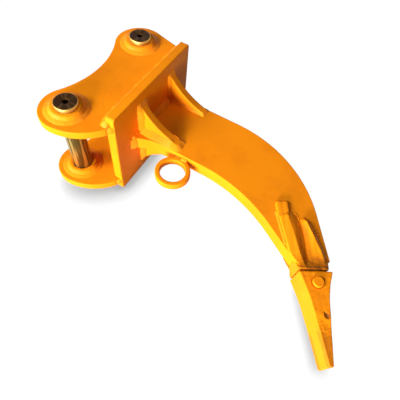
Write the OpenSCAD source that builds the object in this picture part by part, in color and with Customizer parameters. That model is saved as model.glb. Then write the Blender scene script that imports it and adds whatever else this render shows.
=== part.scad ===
// Ripper for a small excavator: pin ears, base plate, curved shank, weld-on adapter and tooth
// Frame: stick pin axis on Z at x = y = 0, z = 0 midway between the ears, +X from the pins to the shank
// Lengths are millimetres

/* [Pins and bushes] */
// Pin diameter
pin_d = 25; // [20:1:30]
// Distance between the stick pin and the link pin
pin_spacing = 146; // [136:1:170]
// Diameter of the pin head
head_d = 28; // [26:1:32]
// Thickness of the pin head
head_t = 4; // [3:0.5:7]
// Radial play between pin and bush
pin_play = 0.25; // [0.1:0.05:0.5]
// Wall of a bush
bush_wall = 5.25; // [4:0.25:6.5]
// Height of a bush above the outer face of its ear
bush_out = 7; // [5:0.5:10]
// Height of a bush above the inner face of its ear
bush_in = 4; // [3:0.5:6]
// Width of the weld round a bush
bush_weld = 9; // [6:0.5:11]

/* [Ears and base plate] */
// Clear width between the ears
ear_gap = 92; // [84:1:110]
// Ear plate thickness
ear_t = 10; // [8:1:14]
// Radius of the ear round each pin
lobe_r = 33; // [31:0.5:36]
// Distance from the pin axes to the base plate
plate_x = 49; // [46:1:60]
// Base plate thickness
plate_t = 12; // [10:1:16]
// Step of the base plate past each ear, for the weld
plate_ledge = 10.5; // [9:0.5:14]
// Leg of the ear welds
ear_weld = 8; // [5:0.5:8.5]

/* [Shank] */
// Shank plate thickness
shank_t = 18; // [15:1:22]
// Width of the shank at its root
shank_w = 88; // [84:1:94]
// Straight length of the inner edge before its bend
root_l = 92.5; // [86:0.5:100]
// Radius of the outer edge
bend_out = 170; // [160:1:180]
// Turn of the outer edge
turn_out = 56; // [54:0.5:58]
// Radius of the inner edge
bend_in = 203; // [195:1:212]
// Turn of the inner edge
turn_in = 32; // [30:0.5:34]
// Radius of the flare at the root of the inner edge
flare_r = 70; // [60:1:90]
// Leg of the shank root weld
shank_weld = 6; // [4:0.5:7]

/* [Gussets] */
// Gusset thickness
gusset_t = 10; // [8:1:12]
// Height of a gusset on the base plate
gusset_h = 38; // [32:1:42]
// Length of a gusset along the shank
gusset_l = 54; // [46:1:60]
// Leg of the gusset welds
gusset_weld = 4.5; // [3:0.5:5]

/* [Lifting ring] */
// Outer diameter of the ring
ring_od = 44; // [40:1:48]
// Inner diameter of the ring
ring_id = 32; // [26:1:33]
// Thickness of the ring
ring_t = 9; // [7:0.5:12]

/* [Adapter and tooth] */
// Width of the tooth and the adapter
tooth_w = 32; // [30:1:38]
// Length of the tooth from its rim to its edge
tooth_l = 92; // [80:1:110]
// Depth of the tooth at its rim
tooth_d = 37; // [35:0.5:40]
// Turn of the tooth axis from the base plate normal
tooth_turn = 61; // [59:0.5:63]
// Diameter of the tooth pin
lock_d = 12; // [9:0.5:13]
// Play of the tooth on its nose
nose_play = 0.4; // [0.2:0.1:0.8]
// Leg of the adapter welds
strap_weld = 4; // [2.5:0.5:4.5]

/* [Hidden] */
$fn = 64;
bush_r = pin_d / 2 + pin_play + bush_wall;
ear_z = ear_gap / 2;
ear_top = ear_z + ear_t;
bush_top = ear_top + bush_out;
// pins: lower end, chamfers, and the tapped hole in the head
pin_end = 2.5;
end_chamfer = 2;
head_chamfer = 1.5;
tap_r = 3.4;
tap_mouth = 4.5;
tap_l = 16;
plate_y = 4.5;
plate_l = pin_spacing + 20;
plate_w = 2 * (ear_top + plate_ledge);
plate_f = plate_x + plate_t;
plate_r = 4;
// tangent arcs run past each other by this much, so that they cross cleanly
lap = 0.03;
// waist of the ears, an arc tangent to both lobes
waist = 13.5;
waist_r = (pow(pin_spacing / 2, 2) + waist * waist - lobe_r * lobe_r) / (2 * (lobe_r - waist));
waist_c = [-(waist_r + waist), pin_spacing / 2];
waist_k = (lobe_r + 3) / (waist_r + lobe_r);
// near edge of the ears, a wide arc tangent to the stick lobe, ending in a heel beside the plate
near_r = 70;
near_a = -85;
near_c = -(near_r - lobe_r) * [cos(near_a), sin(near_a)];
heel_x = plate_x + plate_t / 2;
heel_weld = plate_t / 2 - 1;
far_a = 14;
far_r = lobe_r - lap;
far_y = pin_spacing + (far_r - plate_x * sin(far_a)) / cos(far_a);
// shank edges
root_mid = plate_y + plate_l / 2 + 3;
in_y = root_mid - shank_w / 2;
out_y = root_mid + shank_w / 2;
bend_lag = 9;
in_x = plate_f + root_l;
out_x = in_x + bend_lag;
in_p = [in_x + bend_in * sin(turn_in), in_y - bend_in * (1 - cos(turn_in))];
in_d = [cos(turn_in), -sin(turn_in)];
out_p = [out_x + bend_out * sin(turn_out), out_y - bend_out * (1 - cos(turn_out))];
out_v = [out_x + bend_out * tan(turn_out / 2), out_y];
out_d = [cos(turn_out), -sin(turn_out)];
flare_l = 37;
flare_h = flare_r - sqrt(flare_r * flare_r - flare_l * flare_l);
// tooth rim centre, along and off the outer edge from the end of its bend
rim_run = 71;
rim_off = 22;
rim = out_p + rim_run * out_d - rim_off * [sin(turn_out), cos(turn_out)];
rim_d = [cos(tooth_turn), -sin(tooth_turn)];
rim_gap = 2;
collar_l = 12;
collar_in = 3.5;
shank_u = -rim_gap - collar_l;
in_e = in_p + in_d * (shank_u - (in_p - rim) * rim_d) / (in_d * rim_d);
out_e = out_p + out_d * (shank_u - (out_p - rim) * rim_d) / (out_d * rim_d);
half_t = shank_t / 2;
half_w = tooth_w / 2;
in_ledge = 8;
out_ledge = 3;
gusset_y = [in_y + in_ledge, out_y - out_ledge - gusset_t];
gusset_leg = [gusset_weld, min(gusset_weld, out_ledge)];
toe_h = 3;
chamfer = 1;
ring_x = 66.5;
ring_gap = 1;
ring_c = [plate_f + ring_x, in_y - ring_gap - ring_od / 2];
ring_weld_l = 20;
ring_weld_h = 4.5;
// nose of the adapter: length, walls of the tooth round its root, half depth and wall at its tip
nose_l = 32;
nose_back = 5.5;
nose_side = 5;
tip_v = 6;
tip_side = 7;
lock_u = 12;
lock_out = 1.5;
// tooth: half depths of its body and blade and their distances from the rim, bow, and cuts in its sides
body_u = 28;
body_v = 10.4;
blade_u = 42;
blade_v = 8.1;
edge_v = 1.6;
bow = 0.5;
relief_u = 45;
relief = 3.5;
notch = 6.5;

paint = [0.93, 0.55, 0.08];
bead = [0.90, 0.50, 0.07];
steel = [0.34, 0.31, 0.22];

module below() {
    mirror([0, 0, 1]) children();
}

module at_link() {
    translate([0, pin_spacing, 0]) children();
}

module at_rim() {
    translate([rim[0], rim[1], 0]) rotate([0, 0, -tooth_turn]) children();
}

// straight fillet along +X from the origin, leg a on z = 0 and leg b up the wall y = 0, on the +Y side
module fillet(a, l, b) {
    rotate([90, 0, 90]) linear_extrude(l) polygon([[0, 0], [a, 0], [0.58 * a, 0.58 * b], [0, b]]);
}

// ear: two lobes, the waist arc, the near arc with its heel and the straight far edge
module ear_outline() {
    difference() {
        union() {
            circle(lobe_r);
            translate([0, pin_spacing]) circle(lobe_r);
            difference() {
                polygon([waist_c * waist_k, [0, 0], [plate_x, plate_y], [plate_x, far_y],
                    [far_r * sin(far_a), pin_spacing + far_r * cos(far_a)], [0, pin_spacing],
                    [waist_c[0] * waist_k, pin_spacing - waist_c[1] * waist_k]]);
                translate(waist_c) circle(waist_r + lap, $fn = 180);
            }
            intersection() {
                translate(near_c) circle(near_r - lap, $fn = 180);
                polygon([[0, 0], [2 * lobe_r * cos(near_a), 2 * lobe_r * sin(near_a)],
                    [heel_x, -2 * lobe_r], [heel_x, plate_y], [plate_x, plate_y],
                    [plate_x, pin_spacing / 2], [0, pin_spacing / 2]]);
            }
        }
        circle(bush_r);
        translate([0, pin_spacing]) circle(bush_r);
    }
}

module ear() {
    color(paint) translate([0, 0, ear_z]) linear_extrude(ear_t) ear_outline();
}

module upper_ear() {
    ear();
}

module lower_ear() {
    below() ear();
}

module bush() {
    r = pin_d / 2 + pin_play;
    low = ear_z - bush_in;
    color(paint) rotate_extrude()
        polygon([[r, low], [bush_r - chamfer, low], [bush_r, low + chamfer], [bush_r, bush_top - chamfer],
            [bush_r - chamfer, bush_top], [r, bush_top]]);
}

module upper_stick_bush() {
    bush();
}

module lower_stick_bush() {
    below() bush();
}

module upper_link_bush() {
    at_link() bush();
}

module lower_link_bush() {
    at_link() below() bush();
}

// headed pin with a chamfered rim, a tapped hole in the head and a chamfered lower end
module pin() {
    r = pin_d / 2;
    low = -bush_top - pin_end;
    top = bush_top + head_t;
    color(steel) rotate_extrude()
        polygon([[0, low], [r - end_chamfer, low], [r, low + end_chamfer], [r, bush_top],
            [head_d / 2, bush_top], [head_d / 2, top - head_chamfer], [head_d / 2 - head_chamfer, top],
            [tap_mouth, top], [tap_r, top - head_chamfer], [tap_r, top - tap_l], [0, top - tap_l - 2]]);
}

module stick_pin() {
    pin();
}

module link_pin() {
    at_link() pin();
}

// weld of height h round a bush, standing on z = 0
module bush_weld_ring(h) {
    rotate_extrude()
        polygon([[bush_r, 0], [bush_r + bush_weld, 0], [bush_r + 0.62 * bush_weld, 0.55 * h], [bush_r, h]]);
}

// welds round a bush on both faces of its ear
module bush_welds() {
    color(bead) {
        translate([0, 0, ear_top]) bush_weld_ring(bush_out - 1);
        translate([0, 0, ear_z]) below() bush_weld_ring(bush_in - 0.5);
    }
}

module upper_stick_bush_welds() {
    bush_welds();
}

module lower_stick_bush_welds() {
    below() bush_welds();
}

module upper_link_bush_welds() {
    at_link() bush_welds();
}

module lower_link_bush_welds() {
    at_link() below() bush_welds();
}

// plate with rounded corners, standing on edge across both ears
module base_plate() {
    color(paint) translate([plate_x, plate_y, 0]) rotate([90, 0, 90]) linear_extrude(plate_t) {
        translate([plate_r, -plate_w / 2]) square([plate_l - 2 * plate_r, plate_w]);
        translate([0, plate_r - plate_w / 2]) square([plate_l, plate_w - 2 * plate_r]);
        for (y = [plate_r, plate_l - plate_r], z = [-1, 1])
            translate([y, z * (plate_w / 2 - plate_r)]) circle(plate_r);
    }
}

// weld of an ear on the back of the plate, turning round the near corner, and one down the heel
module ear_plate_weld() {
    far_l = far_y - plate_y - 1;
    heel_l = heel_x - plate_x;
    color(bead) translate([0, 0, ear_top]) {
        difference() {
            union() {
                translate([plate_x, plate_y, 0]) rotate([0, 0, 90]) fillet(ear_weld, far_l, ear_weld);
                translate([plate_x, plate_y, 0]) cylinder(r1 = ear_weld, r2 = 0, h = ear_weld);
                translate([heel_x, plate_y, 0]) rotate([0, 0, 180]) fillet(ear_weld, heel_l, ear_weld);
            }
            translate([plate_x, plate_y, -1]) cube([plate_t, plate_l, 2 * ear_weld]);
            translate([heel_x, plate_y - 2 * ear_weld, -1]) cube([ear_weld, 4 * ear_weld, 2 * ear_weld]);
        }
        translate([heel_x, plate_y, 0.5 - ear_t]) linear_extrude(ear_t - 1)
            polygon([[0, 0], [0, -heel_weld], [0.58 * heel_weld, -0.58 * heel_weld], [heel_weld, 0]]);
    }
}

module upper_ear_weld() {
    ear_plate_weld();
}

module lower_ear_weld() {
    below() ear_plate_weld();
}

// shank outline: straight root, flared on the inner side, two unequal bends and a square end in the adapter
module shank_outline() {
    difference() {
        polygon([[plate_f, in_y - flare_h], [plate_f + flare_l, in_y], [in_x, in_y], in_p, in_e,
            out_e, out_v, [plate_f, out_y]]);
        translate([plate_f + flare_l, in_y - flare_r]) circle(flare_r + lap, $fn = 180);
        translate([in_x, in_y - bend_in]) circle(bend_in + lap, $fn = 180);
        difference() {
            polygon([[out_x, out_y], out_v + [0, 12], out_v + [12, 12], out_p]);
            translate([out_x, out_y - bend_out]) circle(bend_out + lap, $fn = 180);
        }
    }
}

module shank() {
    color(paint) linear_extrude(shank_t, center = true) shank_outline();
}

// welds of the shank root: both faces between the gussets, and both edges
module root_face_weld() {
    y0 = gusset_y[0] + gusset_t + gusset_weld;
    y1 = gusset_y[1] - gusset_leg[1];
    y2 = gusset_y[0] - gusset_weld;
    l = in_ledge - gusset_weld + flare_h;
    color(bead) {
        translate([plate_f, y1, half_t]) rotate([0, 0, -90]) fillet(shank_weld, y1 - y0, shank_weld);
        translate([plate_f, y2, half_t]) rotate([0, 0, -90]) fillet(shank_weld, l, shank_weld);
    }
}

module upper_shank_weld() {
    root_face_weld();
}

module lower_shank_weld() {
    below() root_face_weld();
}

module inner_shank_weld() {
    color(bead) difference() {
        translate([plate_f, in_y - flare_h - shank_weld, -half_t])
            linear_extrude(shank_t)
                polygon(shank_weld * [[0, 0], [0.42, 0.42], [1.1, 2.1], [0, 2.1]]);
        linear_extrude(2 * shank_t, center = true) shank_outline();
    }
}

module outer_shank_weld() {
    color(bead) translate([plate_f, out_y, half_t]) rotate([0, 90, 0])
        fillet(shank_weld, shank_t, shank_weld);
}

// gusset side: a right angle with a concave free edge and blunt ends
module gusset_side() {
    h = gusset_h - toe_h;
    l = gusset_l - toe_h;
    sag = 5;
    arc_r = (h * h + l * l) / (8 * sag) + sag / 2;
    mid = [gusset_l + toe_h, gusset_h + toe_h] / 2;
    n = [h, l] / sqrt(h * h + l * l);
    difference() {
        polygon([[0, 0], [gusset_l, 0], [gusset_l, toe_h], [toe_h, gusset_h], [0, gusset_h]]);
        translate(mid + (arc_r - sag) * n) circle(arc_r, $fn = 180);
    }
}

module gusset(i) {
    color(paint) translate([plate_f, gusset_y[i] + gusset_t, half_t]) rotate([90, 0, 0])
        linear_extrude(gusset_t) gusset_side();
}

module upper_inner_gusset() {
    gusset(0);
}

module upper_outer_gusset() {
    gusset(1);
}

module lower_inner_gusset() {
    below() gusset(0);
}

module lower_outer_gusset() {
    below() gusset(1);
}

// weld of legs a round a gusset foot of length l along +X: both sides and the toe, lower at the toe
module foot_weld(l, a) {
    run = l - 2 * toe_h;
    for (s = [0, 1])
        translate([0, s * gusset_t, 0]) mirror([0, 1 - s, 0]) {
            fillet(a, run, a);
            translate([run, 0, 0]) fillet(a, l - run, toe_h);
            translate([l, 0, 0]) intersection() {
                cylinder(r1 = a, r2 = 0, h = toe_h);
                cube([a, a, toe_h]);
            }
        }
    translate([l, gusset_t, 0]) rotate([0, 0, -90]) fillet(a, gusset_t, toe_h);
}

// the same weld along the foot and, with X and Z exchanged, up the plate
module gusset_welds(i) {
    color(bead) translate([plate_f, gusset_y[i], half_t]) {
        foot_weld(gusset_l, gusset_leg[i]);
        mirror([1, 0, -1]) foot_weld(gusset_h, gusset_leg[i]);
    }
}

module upper_inner_gusset_weld() {
    gusset_welds(0);
}

module upper_outer_gusset_weld() {
    gusset_welds(1);
}

module lower_inner_gusset_weld() {
    below() gusset_welds(0);
}

module lower_outer_gusset_weld() {
    below() gusset_welds(1);
}

// ring cut from tube, welded on edge to the inner side of the shank
module lifting_ring() {
    r = ring_od / 2;
    h = ring_t / 2;
    color(paint) translate([ring_c[0], ring_c[1], 0]) rotate_extrude()
        polygon([[ring_id / 2, -h], [r - chamfer, -h], [r, chamfer - h], [r, h - chamfer], [r - chamfer, h],
            [ring_id / 2, h]]);
}

module ring_weld() {
    color(bead) linear_extrude(ring_t - 1, center = true) difference() {
        translate([ring_c[0] - ring_weld_l / 2, in_y - ring_weld_h]) square([ring_weld_l, ring_weld_h]);
        translate(ring_c) circle(d = ring_od);
    }
}

// raised strap of the adapter on one face of the shank, narrower at the top
module strap(low, high) {
    hull() {
        translate([0, 0, half_t]) linear_extrude(1) polygon(low);
        translate([0, 0, half_w - 1]) linear_extrude(1) polygon(high);
    }
}

// straps in the rim's frame: a long one with a low tab at its end and a wide slope, and a short curved one
strap_u = -rim_gap - 1;
strap_v = tooth_d / 2 - collar_in - 0.5;
long_foot = [[-76, -33], [-74, -13], [-58, -6.5], [strap_u, -4], [strap_u, -14.5], [-22, -24.7]];
long_top = [[-67, -30.5], [-67, -22], [strap_u, -12.2], [strap_u, -13], [-22, -22.5]];
tab_foot = [[-88.5, -29], [-85.5, -32.5], [-72, -32], [-68, -20], [-84, -16.3], [-88.5, -18]];
short_foot = [[-67, -1], [-63, 6], [-54.5, 11.7], [-43, 15.7], [-31, 18.1],
    [shank_u, 17.5], [strap_u, strap_v], [strap_u, -4], [-62, -7]];
short_top = [[-60, -3.5], [-42, 4.6], [-31, 8.5], [strap_u, 12.5], [strap_u, -0.5], [-45, -3.2]];

module straps() {
    strap(long_foot, long_top);
    strap(short_foot, short_top);
    translate([0, 0, half_t]) linear_extrude(0.5 * (half_w - half_t)) polygon(tab_foot);
}

// nose that carries the tooth, of length l and grown by play for the socket
module nose(l, play) {
    root_v = tooth_d / 2 - nose_back + play;
    root_z = half_w - nose_side + play;
    end_v = tip_v + play;
    end_z = half_w - tip_side + play;
    hull() {
        translate([-rim_gap - 1, -root_v, -root_z]) cube([1, 2 * root_v, 2 * root_z]);
        translate([l - 1, -end_v, -end_z]) cube([1, 2 * end_v, 2 * end_z]);
    }
}

// cast adapter: tapered collar behind the tooth, a nose inside it and a fork of straps over the shank end
module adapter() {
    back_u = shank_u + lap;
    back_h = half_t + 1.5;
    lip = 2;
    color(paint) at_rim() difference() {
        union() {
            translate([0, tooth_d / 2 - collar_in, 0]) rotate([90, 0, 0]) linear_extrude(tooth_d - collar_in)
                polygon([[back_u, -back_h], [-rim_gap - lip, -half_w], [-rim_gap, -half_w],
                    [-rim_gap, half_w], [-rim_gap - lip, half_w], [back_u, back_h]]);
            nose(nose_l, 0);
            straps();
            below() straps();
        }
        translate([lock_u, 0, -tooth_w]) cylinder(d = lock_d + nose_play, h = 2 * tooth_w);
    }
}

// fillet against a strap's foot, on the left of its edge from a to b, over the shares s to e of that edge
module strap_bead(a, b, s, e, leg) {
    p = a + s * (b - a);
    translate([p[0], p[1], half_t]) rotate([0, 0, atan2(b[1] - a[1], b[0] - a[0])])
        fillet(leg, (e - s) * norm(b - a), 0.8 * leg);
}

module strap_welds() {
    color(bead) at_rim() {
        strap_bead(long_foot[5], long_foot[0], 0.18, 0.97, strap_weld);
        strap_bead(long_foot[1], long_foot[2], 0.03, 0.6, strap_weld);
        strap_bead(short_foot[2], short_foot[3], 0, 1, 0.6 * strap_weld);
    }
}

module upper_strap_weld() {
    strap_welds();
}

module lower_strap_weld() {
    below() strap_welds();
}

// hollow tooth: a socket for the nose, a slender blade, and on both sides a relief with a notch at its top
module tooth() {
    d = tooth_d / 2;
    mid = [[body_u / 2, 0.75 * d], [body_u, body_v], [blade_u, blade_v]];
    back = [for (p = mid) [p[0], p[1] - bow]];
    front = [for (i = [2:-1:0]) [mid[i][0], -mid[i][1] - bow]];
    color(paint) at_rim() difference() {
        linear_extrude(tooth_w, center = true)
            polygon(concat([[0, d]], back, [[tooth_l, edge_v], [tooth_l, -edge_v]], front, [[0, -d]]));
        nose(nose_l + 1, nose_play);
        for (s = [-1, 1])
            translate([0, 0, s * half_w]) {
                linear_extrude(2 * relief, center = true)
                    polygon([[relief_u, -2.5], [relief_u + 7, 12], [tooth_l + 1, 12], [tooth_l + 1, -0.6],
                        [relief_u + 20, -4.2], [relief_u + 9, -4.2]]);
                linear_extrude(2 * notch, center = true)
                    polygon([[relief_u - 1.5, 0.5], [relief_u + 4, 12], [relief_u + 9, 12],
                        [relief_u + 4, 0.5]]);
            }
        translate([lock_u, 0, -tooth_w]) cylinder(d = lock_d + nose_play, h = 2 * tooth_w);
    }
}

module tooth_pin() {
    r = lock_d / 2;
    h = half_w + lock_out;
    c = chamfer;
    color(paint) at_rim() translate([lock_u, 0, 0]) rotate_extrude()
        polygon([[0, -h], [r - c, -h], [r, c - h], [r, h - c], [r - c, h], [0, h]]);
}

upper_ear();
lower_ear();
upper_stick_bush();
lower_stick_bush();
upper_link_bush();
lower_link_bush();
stick_pin();
link_pin();
base_plate();
shank();
upper_inner_gusset();
upper_outer_gusset();
lower_inner_gusset();
lower_outer_gusset();
lifting_ring();
adapter();
tooth();
tooth_pin();
upper_stick_bush_welds();
lower_stick_bush_welds();
upper_link_bush_welds();
lower_link_bush_welds();
upper_ear_weld();
lower_ear_weld();
upper_shank_weld();
lower_shank_weld();
inner_shank_weld();
outer_shank_weld();
upper_inner_gusset_weld();
upper_outer_gusset_weld();
lower_inner_gusset_weld();
lower_outer_gusset_weld();
ring_weld();
upper_strap_weld();
lower_strap_weld();
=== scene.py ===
import math

import bmesh
import bpy
import numpy as np
from mathutils import Matrix, Vector
from mathutils.geometry import tessellate_polygon


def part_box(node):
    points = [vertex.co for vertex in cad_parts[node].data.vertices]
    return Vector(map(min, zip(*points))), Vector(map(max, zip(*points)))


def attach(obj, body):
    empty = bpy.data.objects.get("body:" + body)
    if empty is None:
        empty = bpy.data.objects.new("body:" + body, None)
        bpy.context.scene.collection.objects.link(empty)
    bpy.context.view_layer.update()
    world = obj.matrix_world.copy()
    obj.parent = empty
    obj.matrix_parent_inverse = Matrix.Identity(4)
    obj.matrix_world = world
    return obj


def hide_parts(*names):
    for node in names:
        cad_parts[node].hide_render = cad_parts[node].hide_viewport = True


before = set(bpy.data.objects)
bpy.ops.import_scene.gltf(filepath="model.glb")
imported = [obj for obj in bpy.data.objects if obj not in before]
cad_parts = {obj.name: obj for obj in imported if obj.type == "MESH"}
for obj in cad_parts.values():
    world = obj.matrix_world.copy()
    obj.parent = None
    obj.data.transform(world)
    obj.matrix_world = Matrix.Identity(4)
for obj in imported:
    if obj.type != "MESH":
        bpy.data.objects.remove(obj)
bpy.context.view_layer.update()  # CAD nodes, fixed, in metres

mm = 0.001  # shapes below are worked out in millimetres
xAxis, yAxis, zAxis = np.eye(3)


def span(node):
    # lowest and highest corner of a CAD node, in millimetres
    return [np.array(corner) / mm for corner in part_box(node)]


# shader maths

class Sock:
    # an output socket; arithmetic on it adds Math nodes to its material
    def __init__(self, kit, link):
        self.kit = kit
        self.link = link

    def __add__(self, other):
        return self.kit.math("ADD", self, other)

    def __sub__(self, other):
        return self.kit.math("SUBTRACT", self, other)

    def __rsub__(self, other):
        return self.kit.math("SUBTRACT", other, self)

    def __mul__(self, other):
        return self.kit.math("MULTIPLY", self, other)

    __radd__ = __add__
    __rmul__ = __mul__


class Finish:
    # one material, or a world, and its nodes
    def __init__(self, name, kind=bpy.data.materials):
        self.material = kind.new(name)
        self.material.use_nodes = True
        self.tree = self.material.node_tree
        self.tree.nodes.clear()

    def node(self, kind, settings=None, sockets=None, out=0):
        made = self.tree.nodes.new("ShaderNode" + kind)
        for key, value in (settings or {}).items():
            setattr(made, key, value)
        for key, value in (sockets or {}).items():
            if isinstance(value, Sock):
                self.tree.links.new(value.link, made.inputs[key])
            else:
                made.inputs[key].default_value = value
        return Sock(self, made.outputs[out]) if made.outputs else made

    def math(self, operation, a, b=0.0, c=0.0):
        return self.node("Math", {"operation": operation}, {0: a, 1: b, 2: c})

    def place(self):
        return self.node("TexCoord", None, None, "Object")

    def split(self, vector):
        parts = self.node("SeparateXYZ", None, {0: vector}).link.node
        return [Sock(self, socket) for socket in parts.outputs]

    def noise(self, where, scale, detail=3.0, roughness=0.55):
        return self.node("TexNoise", None, {"Vector": where, "Scale": scale, "Detail": detail,
                                            "Roughness": roughness}, "Fac")

    def band(self, value, low, high):
        # 0 below low, 1 above high, smooth between
        return self.node("MapRange", {"interpolation_type": "SMOOTHSTEP"},
                         {"Value": value, "From Min": low, "From Max": high})

    def mix(self, share, a, b):
        return self.node("Mix", {"data_type": "RGBA"}, {0: share, 6: a, 7: b}, 2)

    def bump(self, height, depth, strength=1.0, normal=None):
        sockets = {"Height": height, "Distance": depth, "Strength": strength}
        if normal is not None:
            sockets["Normal"] = normal
        return self.node("Bump", None, sockets, "Normal")

    def seen(self):
        # 1 for what the camera sees straight, in metal or through glass, else 0
        rays = self.node("LightPath").link.node.outputs
        kinds = ("Is Camera Ray", "Is Glossy Ray", "Is Transmission Ray")
        return sum(Sock(self, rays[kind]) for kind in kinds)

    def shade(self, sockets):
        surface = self.node("BsdfPrincipled", None, sockets)
        self.node("OutputMaterial", None, {"Surface": surface})
        return self.material


paintLook = {
    "orange": (0.86, 0.252, 0.004, 1.0),
    "deep": (0.80, 0.220, 0.004, 1.0),
    # dark orange for grime, also used for the painted corner shade
    "grimeAndShade": (0.20, 0.055, 0.008, 1.0),
    "rough": 0.38,
    "peel": 0.00008,  # depth of the orange peel, metres
    "cornerShadeReach": 0.006,  # how far out of a corner the painted shade reaches, metres
}
paintKinds = {  # peel scale, lump depth in metres, lump scale, shares of grime and of painted corner shade, gloss
    "plate": {"peel": 900.0, "lumps": 0.00012, "scale": 70.0, "grimeAndShade": 0.08, "dirtAndCornerShade": 0.60, "gloss": 0.05},
    "weld": {"peel": 700.0, "lumps": 0.00030, "scale": 420.0, "grimeAndShade": 0.24, "dirtAndCornerShade": 0.15, "gloss": 0.14},
    "cast": {"peel": 800.0, "lumps": 0.00022, "scale": 260.0, "grimeAndShade": 0.25, "dirtAndCornerShade": 0.45, "gloss": 0.05},
}


def paintFinish(name, look, kind, wearAndShade=None):
    # sprayed paint: two oranges mixed by soft noise, grime in the low spots, painted shade in the corners,
    # orange peel and lumps as bump; the optional mask and its colour give a real rub on the ears, painted
    # shade and darker patches on the adapter and tooth
    f = Finish(name)
    where = f.place()
    cloud = f.noise(where, 22.0, 4.0)
    fine = f.noise(where, 160.0, 5.0, 0.65)
    lump = f.noise(where, kind["scale"], 4.0, 0.6)
    peel = f.noise(where, kind["peel"], 2.0)
    colour = f.mix(f.band(cloud, 0.38, 0.66), look["orange"], look["deep"])
    pits = 1 - f.band(lump, 0.30, 0.46)
    specks = f.band(fine, 0.66, 0.76)
    dirtAndCornerShade = (pits * kind["grimeAndShade"] + specks * (0.5 * kind["grimeAndShade"])) * f.band(cloud, 0.30, 0.60)
    colour = f.mix(dirtAndCornerShade, colour, look["grimeAndShade"])
    if wearAndShade:
        mask, tint = wearAndShade(f, where, fine)
        colour = f.mix(mask, colour, tint)
    # painted shade: ambient occlusion darkens the paint in corners and between parts
    clear = f.node("AmbientOcclusion", {"samples": 8}, {"Distance": look["cornerShadeReach"]}, "AO")
    corner = (1 - f.band(clear, 0.30, 0.85)) * (0.55 + 0.9 * (fine - 0.35))
    colour = f.mix(corner * kind["dirtAndCornerShade"], colour, look["grimeAndShade"])
    rough = fine * 0.16 + look["rough"] + pits * 0.15
    normal = f.bump(lump, kind["lumps"], 0.8)
    normal = f.bump(peel, look["peel"], 0.7, normal)
    return f.shade({"Base Color": colour, "Roughness": rough, "Normal": normal,
                    "Specular IOR Level": kind["gloss"]})


steelLook = {
    "zinc": (0.60, 0.41, 0.10, 1.0),
    "olive": (0.15, 0.098, 0.02, 1.0),
    "dark": (0.026, 0.008, 0.0025, 1.0),
    "sheenWedge": (0.075, 0.036, 0.014, 1.0),  # painted sheen: lighter sectors of the head, standing in for the highlights of its turned face
    "rough": 0.36,
    "turning": 2600.0,  # tool marks, radians a metre
    "darkFrom": 0.0663,  # height from which the top of the head is dark, metres
    "streaks": 3.2,
}


def steelFinish(name, look, axisY):
    # zinc-plated steel turned about the pin's axis: fine rings from the distance to the axis, dull streaks
    # down the shaft from noise on the direction round the axis, partly a painted reflection, a dark top, a
    # bore darkened as painted shade, and painted sheen on the head
    f = Finish(name)
    where = f.place()
    x, y, z = f.split(where)
    y = y - axisY
    reach = f.math("SQRT", x * x + y * y)
    rings = f.math("SINE", (reach + z) * look["turning"])
    turned = f.node("CombineXYZ", None, {0: f.math("DIVIDE", x, reach), 1: f.math("DIVIDE", y, reach),
                                         2: z * 4.0})
    streak = f.noise(turned, look["streaks"], 2.0)
    fine = f.noise(where, 420.0, 4.0)
    # painted shade: the walls of the bore are darkened like the top of the head
    bore = f.band(z, 0.0, 0.01) * (1 - f.band(reach, 0.0044, 0.0050))
    top = f.math("MAXIMUM", bore, f.band(z, look["darkFrom"] - 0.0005, look["darkFrom"] + 0.0005))
    # olive streaks: partly dull plating, partly a painted reflection standing in for the dark band down the
    # shaft
    colour = f.mix(f.band(streak, 0.42, 0.58), look["zinc"], look["olive"])
    colour = f.mix(f.band(z, 0.060, 0.064), colour, look["zinc"])
    # painted sheen: lighter sectors round the dark head
    head = f.mix(f.band(streak, 0.50, 0.66), look["dark"], look["sheenWedge"])
    colour = f.mix(top * (0.97 + 0.03 * fine), colour, head)
    rough = look["rough"] + fine * 0.18 + top * 0.10
    normal = f.bump(rings + fine * 0.8, 0.00003, 0.5)
    return f.shade({"Base Color": colour, "Roughness": rough, "Metallic": 1.0, "Normal": normal})


platePaint = paintFinish("platePaint", paintLook, paintKinds["plate"])
weldPaint = paintFinish("weldPaint", paintLook, paintKinds["weld"])
stickSteel = steelFinish("stickSteel", steelLook, 0.0)
linkSteel = steelFinish("linkSteel", steelLook, 0.146)
print("finishes made:", len(bpy.data.materials))


# surfaces

def gridFaces(rows, cols, wrapRows=False, wrapCols=False):
    # each cell of a grid of points is one quad, the last row or column joining the first where it wraps
    r, c = np.meshgrid(np.arange(rows if wrapRows else rows - 1),
                       np.arange(cols if wrapCols else cols - 1), indexing="ij")
    r1, c1 = (r + 1) % rows, (c + 1) % cols
    return np.stack([r * cols + c, r * cols + c1, r1 * cols + c1, r1 * cols + c], -1).reshape(-1, 4)


def skin(grid, wrapRows=False, capped=True):
    # a grid of closed rings as one block of points and faces, its open ends closed by fans from their centres
    rows, cols = grid.shape[:2]
    points = grid.reshape(-1, 3)
    faces = [gridFaces(rows, cols, wrapRows, True)]
    if capped and not wrapRows:
        ring = np.arange(cols)
        for row in (0, rows - 1):
            centre = np.full(cols, len(points))
            points = np.concatenate([points, grid[row].mean(0)[None]])
            faces.append(np.stack([row * cols + ring, row * cols + (ring + 1) % cols, centre], 1))
    return points, faces


def flipZ(block):
    # the same block seen in the plane z = 0
    points, faces = block
    return points * [1, 1, -1], faces


def keep(block):
    # the block as it is
    return block


levels = {"upper": keep, "lower": flipZ}


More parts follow.
